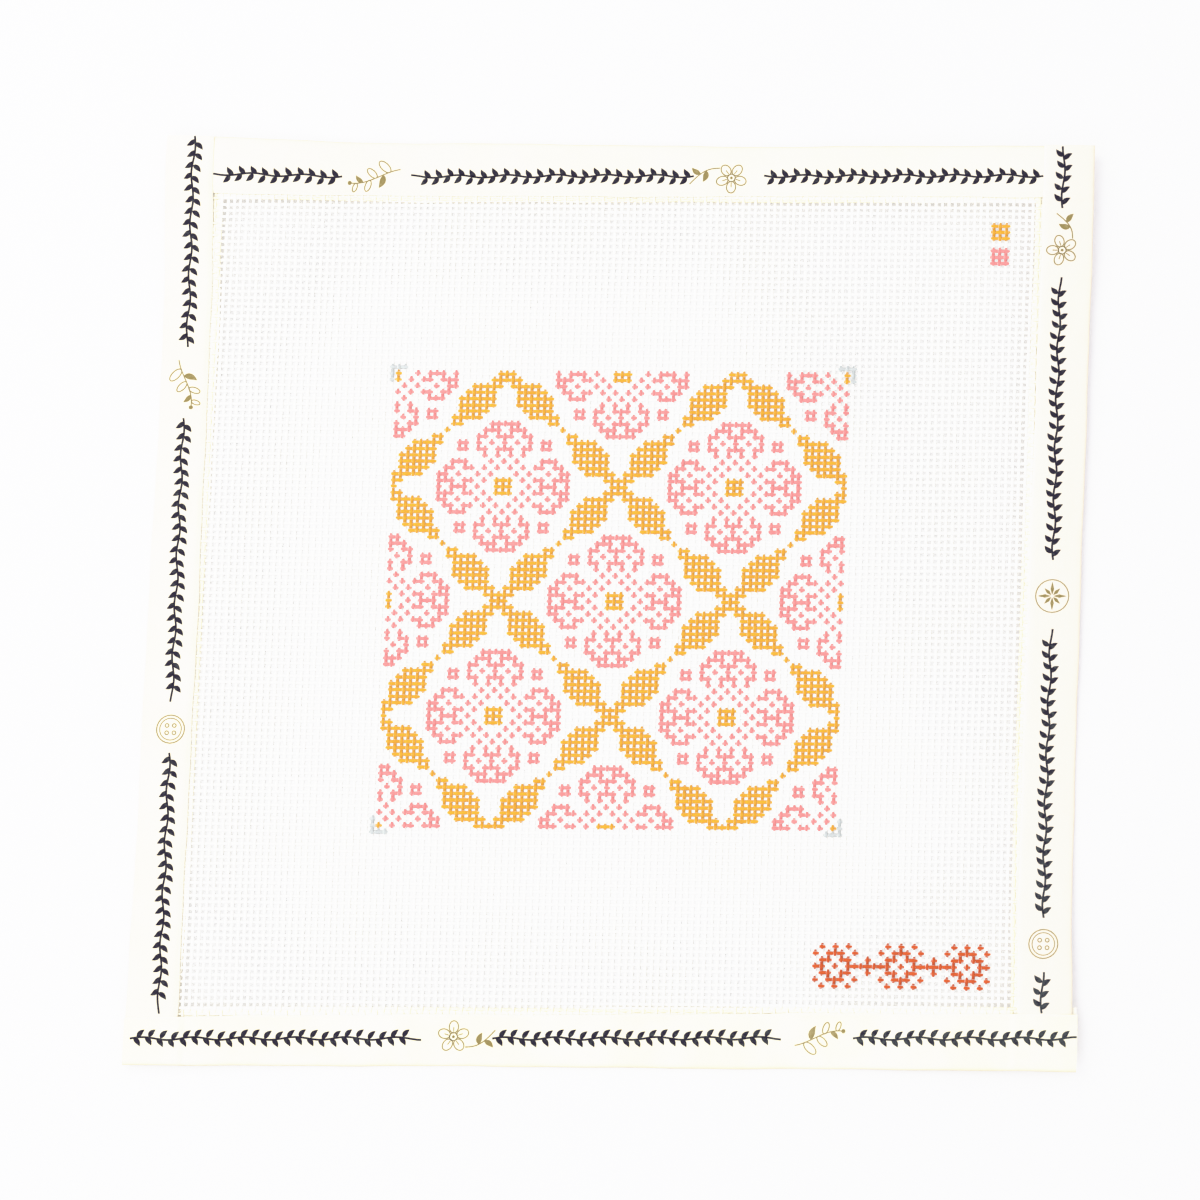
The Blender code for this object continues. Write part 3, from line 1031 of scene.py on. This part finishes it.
def make_print(shape, name, kinds, material):
    """One colour of the print on one tape."""
    blocks = []
    first = 0
    for printed in PRINTS:
        if printed.side != shape.tape.side or printed.kind not in kinds:
            continue
        for part in DRAWINGS[printed.kind](printed.end - printed.start):
            blocks.append(print_solid(shape, printed, part, first))
            first += len(blocks[-1][0])
    points, quads, uvs = (np.concatenate(lists) for lists in zip(*blocks))
    piece = mesh_object(name, points, [quads], {"Tape": uvs[quads]}, PRINT_CREASE)
    piece.data.materials.append(material)
    return piece


# ---- Materials ----

class Nodes:
    """A small helper that builds a material's nodes."""

    def __init__(self, name):
        self.material = bpy.data.materials.new(name)
        self.material.use_nodes = True
        self.tree = self.material.node_tree
        self.shader = self.tree.nodes["Principled BSDF"]

    def add(self, kind, inputs=(), **settings):
        """Add a node, set its properties, and link or set its inputs by index or name."""
        node = self.tree.nodes.new(kind)
        for key, value in settings.items():
            setattr(node, key, value)
        for key, value in dict(inputs).items():
            self.feed(node.inputs[key], value)
        return node

    def feed(self, socket, value):
        """Link an output, or set a constant, on an input."""
        if isinstance(value, bpy.types.NodeSocket):
            self.tree.links.new(value, socket)
        else:
            socket.default_value = value

    def math(self, operation, *values):
        """A math node's result."""
        return self.add("ShaderNodeMath", enumerate(values), operation=operation).outputs[0]

    def noise(self, scale, detail=2.0):
        """A noise texture's value, about 0 to 1, over the object's own metres."""
        inputs = {"Vector": self.coordinates(), "Scale": scale, "Detail": detail}
        return self.add("ShaderNodeTexNoise", inputs).outputs["Fac"]

    def coordinates(self):
        """The object's own coordinates."""
        return self.add("ShaderNodeTexCoord").outputs["Object"]

    def remap(self, value, low, high, to_low=0.0, to_high=1.0, kind="SMOOTHSTEP"):
        """A value eased from one range to another."""
        inputs = {
            "Value": value, "From Min": low, "From Max": high, "To Min": to_low, "To Max": to_high,
        }
        return self.add("ShaderNodeMapRange", inputs, interpolation_type=kind).outputs["Result"]

    def mix(self, share, first, second):
        """A mix of two colours."""
        node = self.add("ShaderNodeMix", {0: share, 6: first, 7: second}, data_type="RGBA")
        return node.outputs[2]

    def bump(self, height, distance, normal=None):
        """The normal of a bumpy surface, from a height of about 0 to 1 and its real depth."""
        inputs = {"Height": height, "Distance": distance}
        if normal is not None:
            inputs["Normal"] = normal
        return self.add("ShaderNodeBump", inputs).outputs["Normal"]

    def uv(self, name):
        """A UV map's two coordinates."""
        node = self.add("ShaderNodeUVMap", uv_map=name)
        split = self.add("ShaderNodeSeparateXYZ", {0: node.outputs["UV"]})
        return split.outputs["X"], split.outputs["Y"]

    def point_mark(self, name):
        """A value that the mesh's points carry."""
        return self.add("ShaderNodeAttribute", attribute_name=name).outputs["Fac"]

    def finish(self, **inputs):
        """Feed the shader's inputs, named with _ for each space, and hand back the material."""
        for name, value in inputs.items():
            self.feed(self.shader.inputs[name.replace("_", " ")], value)
        return self.material

WHITE = (0.945, 0.93, 0.905, 1.0)
WHITE_WARM = (0.94, 0.92, 0.87, 1.0)
# glue tint, partly painted shade
WHITE_GLUED_AND_SHADED = (0.90, 0.84, 0.65, 1.0)
GOLD_PAINT = (0.80, 0.392, 0.022, 1.0)
GOLD_DEEP = (0.56, 0.27, 0.022, 1.0)
PINK_PAINT = (0.88, 0.282, 0.282, 1.0)
PINK_DEEP = (0.66, 0.205, 0.205, 1.0)
GREY_PAINT = (0.55, 0.575, 0.58, 1.0)
GREY_DEEP = (0.48, 0.505, 0.51, 1.0)
RUST_PAINT = (0.60, 0.100, 0.014, 1.0)
RUST_DEEP = (0.44, 0.064, 0.011, 1.0)
CREAM = (0.97, 0.885, 0.66, 1.0)
CREAM_PALE = (0.98, 0.91, 0.72, 1.0)
# painted shade of a tape's whole cloth
CREAM_SHADED = (0.86, 0.765, 0.67, 1.0)
CREAM_EDGE = (0.93, 0.87, 0.76, 1.0)
# painted shade with some grime, for the outside of a fold
CREAM_SHADED_GRIMY = (0.66, 0.59, 0.49, 1.0)
# paler inside of a tape, partly painted light that lifts the shade where it shows under the weave
CREAM_INSIDE_LIT = (0.93, 0.90, 0.81, 1.0)
NAVY = (0.016, 0.011, 0.030, 1.0)
NAVY_WORN = (0.06, 0.068, 0.075, 1.0)
GOLD_INK = (0.29, 0.23, 0.085, 1.0)
GOLD_INK_WORN = (0.40, 0.33, 0.16, 1.0)
FLOOR_WHITE = (0.825, 0.82, 0.85, 1.0)
FLOOR_GREY = (0.81, 0.805, 0.835, 1.0)
FLOOR_UNDER = (0.72, 0.717, 0.725, 1.0)
GLOW_OPEN = 0.13                # how much the floor, a lit white table, glows in the open
GLOW_UNDER = 0.27               # and under the weave: painted light that brightens what shows through the holes
GLOW_EDGES = (3.0 * MM, 10.0 * MM)    # how far in from the panel's edges that starts, and is full
TWIST_LENGTH = 0.9 * MM         # length of one turn of a thread's plies
TAPE_YARN = 0.32 * MM           # spacing of the tape's own fine yarns
YARN_DEPTH = 0.02 * MM
WRINKLE_DEPTH = 0.16 * MM
FIBRE_DEPTH = 0.035 * MM
EDGE_PLACES = (0.1 * MM, 0.7 * MM)    # how far in the upper flap's edge colour is full, and ends
EDGE_SHARE = 0.5
INK_FADE = (60.0 * MM, 200.0 * MM)    # how far to the lower right the ink starts to pale, and ends
INK_FADED = 0.22                # how much it pales there
# How fine the patches of each kind are, in patches a metre.
CANVAS_TINTS = 45.0
PAINT_TONES = 420.0
PAINT_EDGES = 3600.0
FIBRES = 9000.0
TAPE_TINTS = 60.0
WRINKLES = 230.0
INK_SPECKS = 1500.0
FLOOR_TINTS = 1.5
PAINT_UNEVEN = 0.34             # how uneven the edge of paint is, as a share of a thread's cover


def canvas_material():
    """Starched white cotton thread, painted at its crossings and tinted at the edges by glue, partly as
    painted shade.
    """
    nodes = Nodes("canvas_cotton")
    tint = nodes.remap(nodes.noise(CANVAS_TINTS), 0.35, 0.75)
    colour = nodes.mix(tint, WHITE, WHITE_WARM)
    # glue tint, partly painted shade of the band over the under flaps
    colour = nodes.mix(nodes.point_mark("glue"), colour, WHITE_GLUED_AND_SHADED)
    tone = nodes.remap(nodes.noise(PAINT_TONES, 3.0), 0.42, 0.72, 0.0, 0.5)
    # random deeper tones of paint, and deeper paint between the crossings of upright threads
    shade = nodes.math("MAXIMUM", tone, nodes.point_mark("bare"))
    edge = nodes.math("SUBTRACT", nodes.noise(PAINT_EDGES), 0.5)
    edge = nodes.math("MULTIPLY", edge, PAINT_UNEVEN)
    cover = nodes.add("ShaderNodeAttribute", attribute_name="paint").outputs
    gold, pink, grey = nodes.add("ShaderNodeSeparateColor", {0: cover["Color"]}).outputs
    painted = 0.0
    for channel, light, deep in (
        (grey, GREY_PAINT, GREY_DEEP),
        (pink, PINK_PAINT, PINK_DEEP),
        (gold, GOLD_PAINT, GOLD_DEEP),
        (cover["Alpha"], RUST_PAINT, RUST_DEEP),
    ):
        share = nodes.remap(nodes.math("ADD", channel, edge), 0.44, 0.56)
        colour = nodes.mix(share, colour, nodes.mix(shade, light, deep))
        painted = nodes.math("MAXIMUM", painted, share)
    along, around = nodes.uv("Thread")
    turns = nodes.math("ADD", nodes.math("DIVIDE", along, TWIST_LENGTH), around)
    ply = nodes.math("SINE", nodes.math("MULTIPLY", turns, 4.0 * math.pi))
    height = nodes.math("ADD", nodes.math("MULTIPLY", ply, 0.35), nodes.noise(FIBRES))
    return nodes.finish(
        Base_Color=colour,
        Roughness=nodes.remap(painted, 0.0, 1.0, 0.86, 0.62, "LINEAR"),
        Normal=nodes.bump(height, FIBRE_DEPTH),
        Sheen_Weight=0.12,
        Specular_IOR_Level=0.3,
    )


def woven_height(nodes, along, inward):
    """Height of a fine plain weave over a tape, about -1 to 1."""
    one, other = [
        nodes.math("SINE", nodes.math("MULTIPLY", value, 2.0 * math.pi / TAPE_YARN))
        for value in (along, inward)
    ]
    return nodes.math("MULTIPLY", one, other)


def tape_material(side, dull):
    """Cream cotton tape: fine weave, faint wrinkles, painted shade over its cloth and with some grime
    on its fold, a paler edge, and a paler inside, partly painted light.
    """
    nodes = Nodes("tape_cotton_" + side)
    along, around = nodes.uv("Tape")
    tint = nodes.remap(nodes.noise(TAPE_TINTS, 3.0), 0.38, 0.68)
    # painted shade: each tape's whole cloth darkened by its own share
    colour = nodes.mix(dull, nodes.mix(tint, CREAM, CREAM_PALE), CREAM_SHADED)
    colour = nodes.mix(nodes.remap(around, *EDGE_PLACES, EDGE_SHARE, 0.0), colour, CREAM_EDGE)
    # painted shade, with some grime, darkens the outside of the fold
    colour = nodes.mix(nodes.point_mark("soil"), colour, CREAM_SHADED_GRIMY)
    # a paler inside, partly painted light
    inside = nodes.remap(around, -0.1 * MM, 0.0, 1.0, 0.0, "LINEAR")
    weave = nodes.bump(woven_height(nodes, along, around), YARN_DEPTH)
    return nodes.finish(
        Base_Color=nodes.mix(inside, colour, CREAM_INSIDE_LIT),
        Roughness=0.72,
        Normal=nodes.bump(nodes.noise(WRINKLES, 3.0), WRINKLE_DEPTH, weave),
        Sheen_Weight=0.08,
        Specular_IOR_Level=0.35,
    )


def ink_material(name, ink, worn):
    """Printing ink on woven tape, thinner on the high yarns and towards the lower right."""
    nodes = Nodes(name)
    weave = woven_height(nodes, *nodes.uv("Tape"))
    place = nodes.add("ShaderNodeSeparateXYZ", {0: nodes.coordinates()}).outputs
    corner = nodes.math("SUBTRACT", place["X"], place["Y"])
    thin = nodes.math("ADD", nodes.noise(INK_SPECKS), nodes.math("MULTIPLY", weave, 0.10))
    thin = nodes.math("ADD", thin, nodes.remap(corner, *INK_FADE, 0.0, INK_FADED))
    return nodes.finish(
        Base_Color=nodes.mix(nodes.remap(thin, 0.5, 0.8), ink, worn),
        Roughness=0.6,
        Normal=nodes.bump(weave, YARN_DEPTH),
        Specular_IOR_Level=0.2,
    )


def floor_material():
    """A plain pale studio floor that glows a little, and more under the weave as painted light."""
    nodes = Nodes("studio_floor")
    under = nodes.point_mark("under")
    tint = nodes.remap(nodes.noise(FLOOR_TINTS), 0.3, 0.7)
    colour = nodes.mix(under, nodes.mix(tint, FLOOR_WHITE, FLOOR_GREY), FLOOR_UNDER)
    return nodes.finish(
        Base_Color=colour,
        Roughness=0.95,
        Specular_IOR_Level=0.1,
        Emission_Color=SKY,
        Emission_Strength=nodes.remap(under, 0.0, 1.0, GLOW_OPEN, GLOW_UNDER, "LINEAR"),
    )


# ---- Camera, floor and light ----

CAMERA_PLACE = (5.63 * MM, -49.18 * MM, 546.69 * MM)
CAMERA_TILT = math.radians(5.0117)    # away from straight down, towards the panel's top edge
CAMERA_LEAN = math.radians(0.9206)    # and towards its left edge
LENS = 75.0
SENSOR = 36.0
NEAREST = 10.0 * MM             # the camera sees nothing nearer than this
FLOOR_HALF = 2.5
FLOOR_DROP = 0.01 * MM          # how far the floor is below what lies on it
SKY = (0.985, 0.99, 1.0, 1.0)
SKY_STRENGTH = 0.97
# A soft light: place, size, power, colour. Each looks at the panel.
Lamp = namedtuple("Lamp", "name x y z size power colour")
LAMPS = (
    Lamp("key", -0.57, 0.32, 0.70, 0.75, 4.2, (1.0, 0.985, 0.965)),
    Lamp("fill", -0.62, -0.72, 0.85, 0.9, 3.0, (0.985, 0.99, 1.0)),
)
# How the camera shows light, from none to the brightest it tells apart.
Response = namedtuple("Response", "light shown")
RESPONSES = (
    Response(0.0, 0.0),
    Response(0.5, 0.5),
    Response(0.75, 0.79),
    Response(0.9, 0.93),
    Response(1.2, 0.975),
    Response(1.6, 1.0),
)


def make_camera():
    """The camera of the photograph."""
    camera = bpy.data.objects.new("camera", bpy.data.cameras.new("camera"))
    camera.data.lens = LENS
    camera.data.sensor_width = SENSOR
    camera.data.sensor_fit = "HORIZONTAL"
    camera.data.clip_start = NEAREST
    camera.location = CAMERA_PLACE
    camera.rotation_euler = (CAMERA_TILT, CAMERA_LEAN, 0.0)
    bpy.context.scene.collection.objects.link(camera)
    bpy.context.scene.camera = camera


def make_floor():
    """The surface that the panel lies on: a square, and the two frames of its glow inside it."""
    turns = ((0, 0), (1, 0), (1, 1), (0, 1))
    points = [((2 * a - 1) * FLOOR_HALF, (2 * b - 1) * FLOOR_HALF, 0.0) for a, b in turns]
    for inside in GLOW_EDGES:
        reach = inside - FOLD_OUT
        for a, b in turns:
            across = CANVAS_WIDTH - reach if a else reach
            along = CANVAS_LENGTH - reach if b else reach
            x, y, _ = lay(across, along, 0.0)
            points.append((float(x), float(y), 0.0))
    faces = [(8, 9, 10, 11)]
    for first in (0, 4):
        for side in range(4):
            here, after = first + side, first + (side + 1) % 4
            faces.append((here, after, after + 4, here + 4))
    mesh = bpy.data.meshes.new("floor")
    mesh.from_pydata(points, [], faces)
    mark_points(mesh, "under", [0.0] * 8 + [1.0] * 4)
    floor = bpy.data.objects.new("floor", mesh)
    floor.location.z = -FLOOR_DROP
    mesh.materials.append(floor_material())
    bpy.context.scene.collection.objects.link(floor)


def set_response(scene):
    """Show light as a camera does that was set bright: whites run together just under full."""
    view = scene.view_settings
    view.view_transform = "Standard"
    view.use_curve_mapping = True
    brightest = RESPONSES[-1].light
    view.curve_mapping.white_level = (brightest,) * 3
    curve = view.curve_mapping.curves[3]
    for spot in RESPONSES[1:-1]:
        curve.points.new(spot.light / brightest, spot.shown)
    view.curve_mapping.update()


def make_lights():
    """Even studio light, a little stronger from the left."""
    world = bpy.data.worlds.new("studio")
    bpy.context.scene.world = world
    world.use_nodes = True
    background = world.node_tree.nodes["Background"]
    background.inputs["Color"].default_value = SKY
    background.inputs["Strength"].default_value = SKY_STRENGTH
    for lamp in LAMPS:
        data = bpy.data.lights.new(lamp.name, "AREA")
        data.shape = "DISK"
        data.size = lamp.size
        data.energy = lamp.power
        data.color = lamp.colour
        light = bpy.data.objects.new(lamp.name, data)
        light.location = (lamp.x, lamp.y, lamp.z)
        away = light.location.normalized()
        light.rotation_euler = away.to_track_quat("Z", "Y").to_euler()
        bpy.context.scene.collection.objects.link(light)


# ---- Everything together ----

def main():
    """Dress the frame."""
    set_response(bpy.context.scene)
    make_camera()
    make_floor()
    make_lights()
    threads = make_canvas(canvas_material())
    for piece in threads:
        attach(piece, "root")
        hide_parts("canvas")
    motifs = [name for name in DRAWINGS if name != "vine"]
    navy = ink_material("navy_ink", NAVY, NAVY_WORN)
    gold = ink_material("gold_ink", GOLD_INK, GOLD_INK_WORN)
    for number, tape in enumerate(TAPES):
        shape = TapeShape(tape, SEED + number)
        side = tape.side
        piece, flat = make_tape(shape, tape_material(side, tape.dull))
        prints = [
            make_print(shape, "print_navy_" + side, ["vine"], navy),
            make_print(shape, "print_gold_" + side, motifs, gold),
        ]
        for part in [piece] + prints:
            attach(part, "root")
        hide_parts(tape.name)


main()
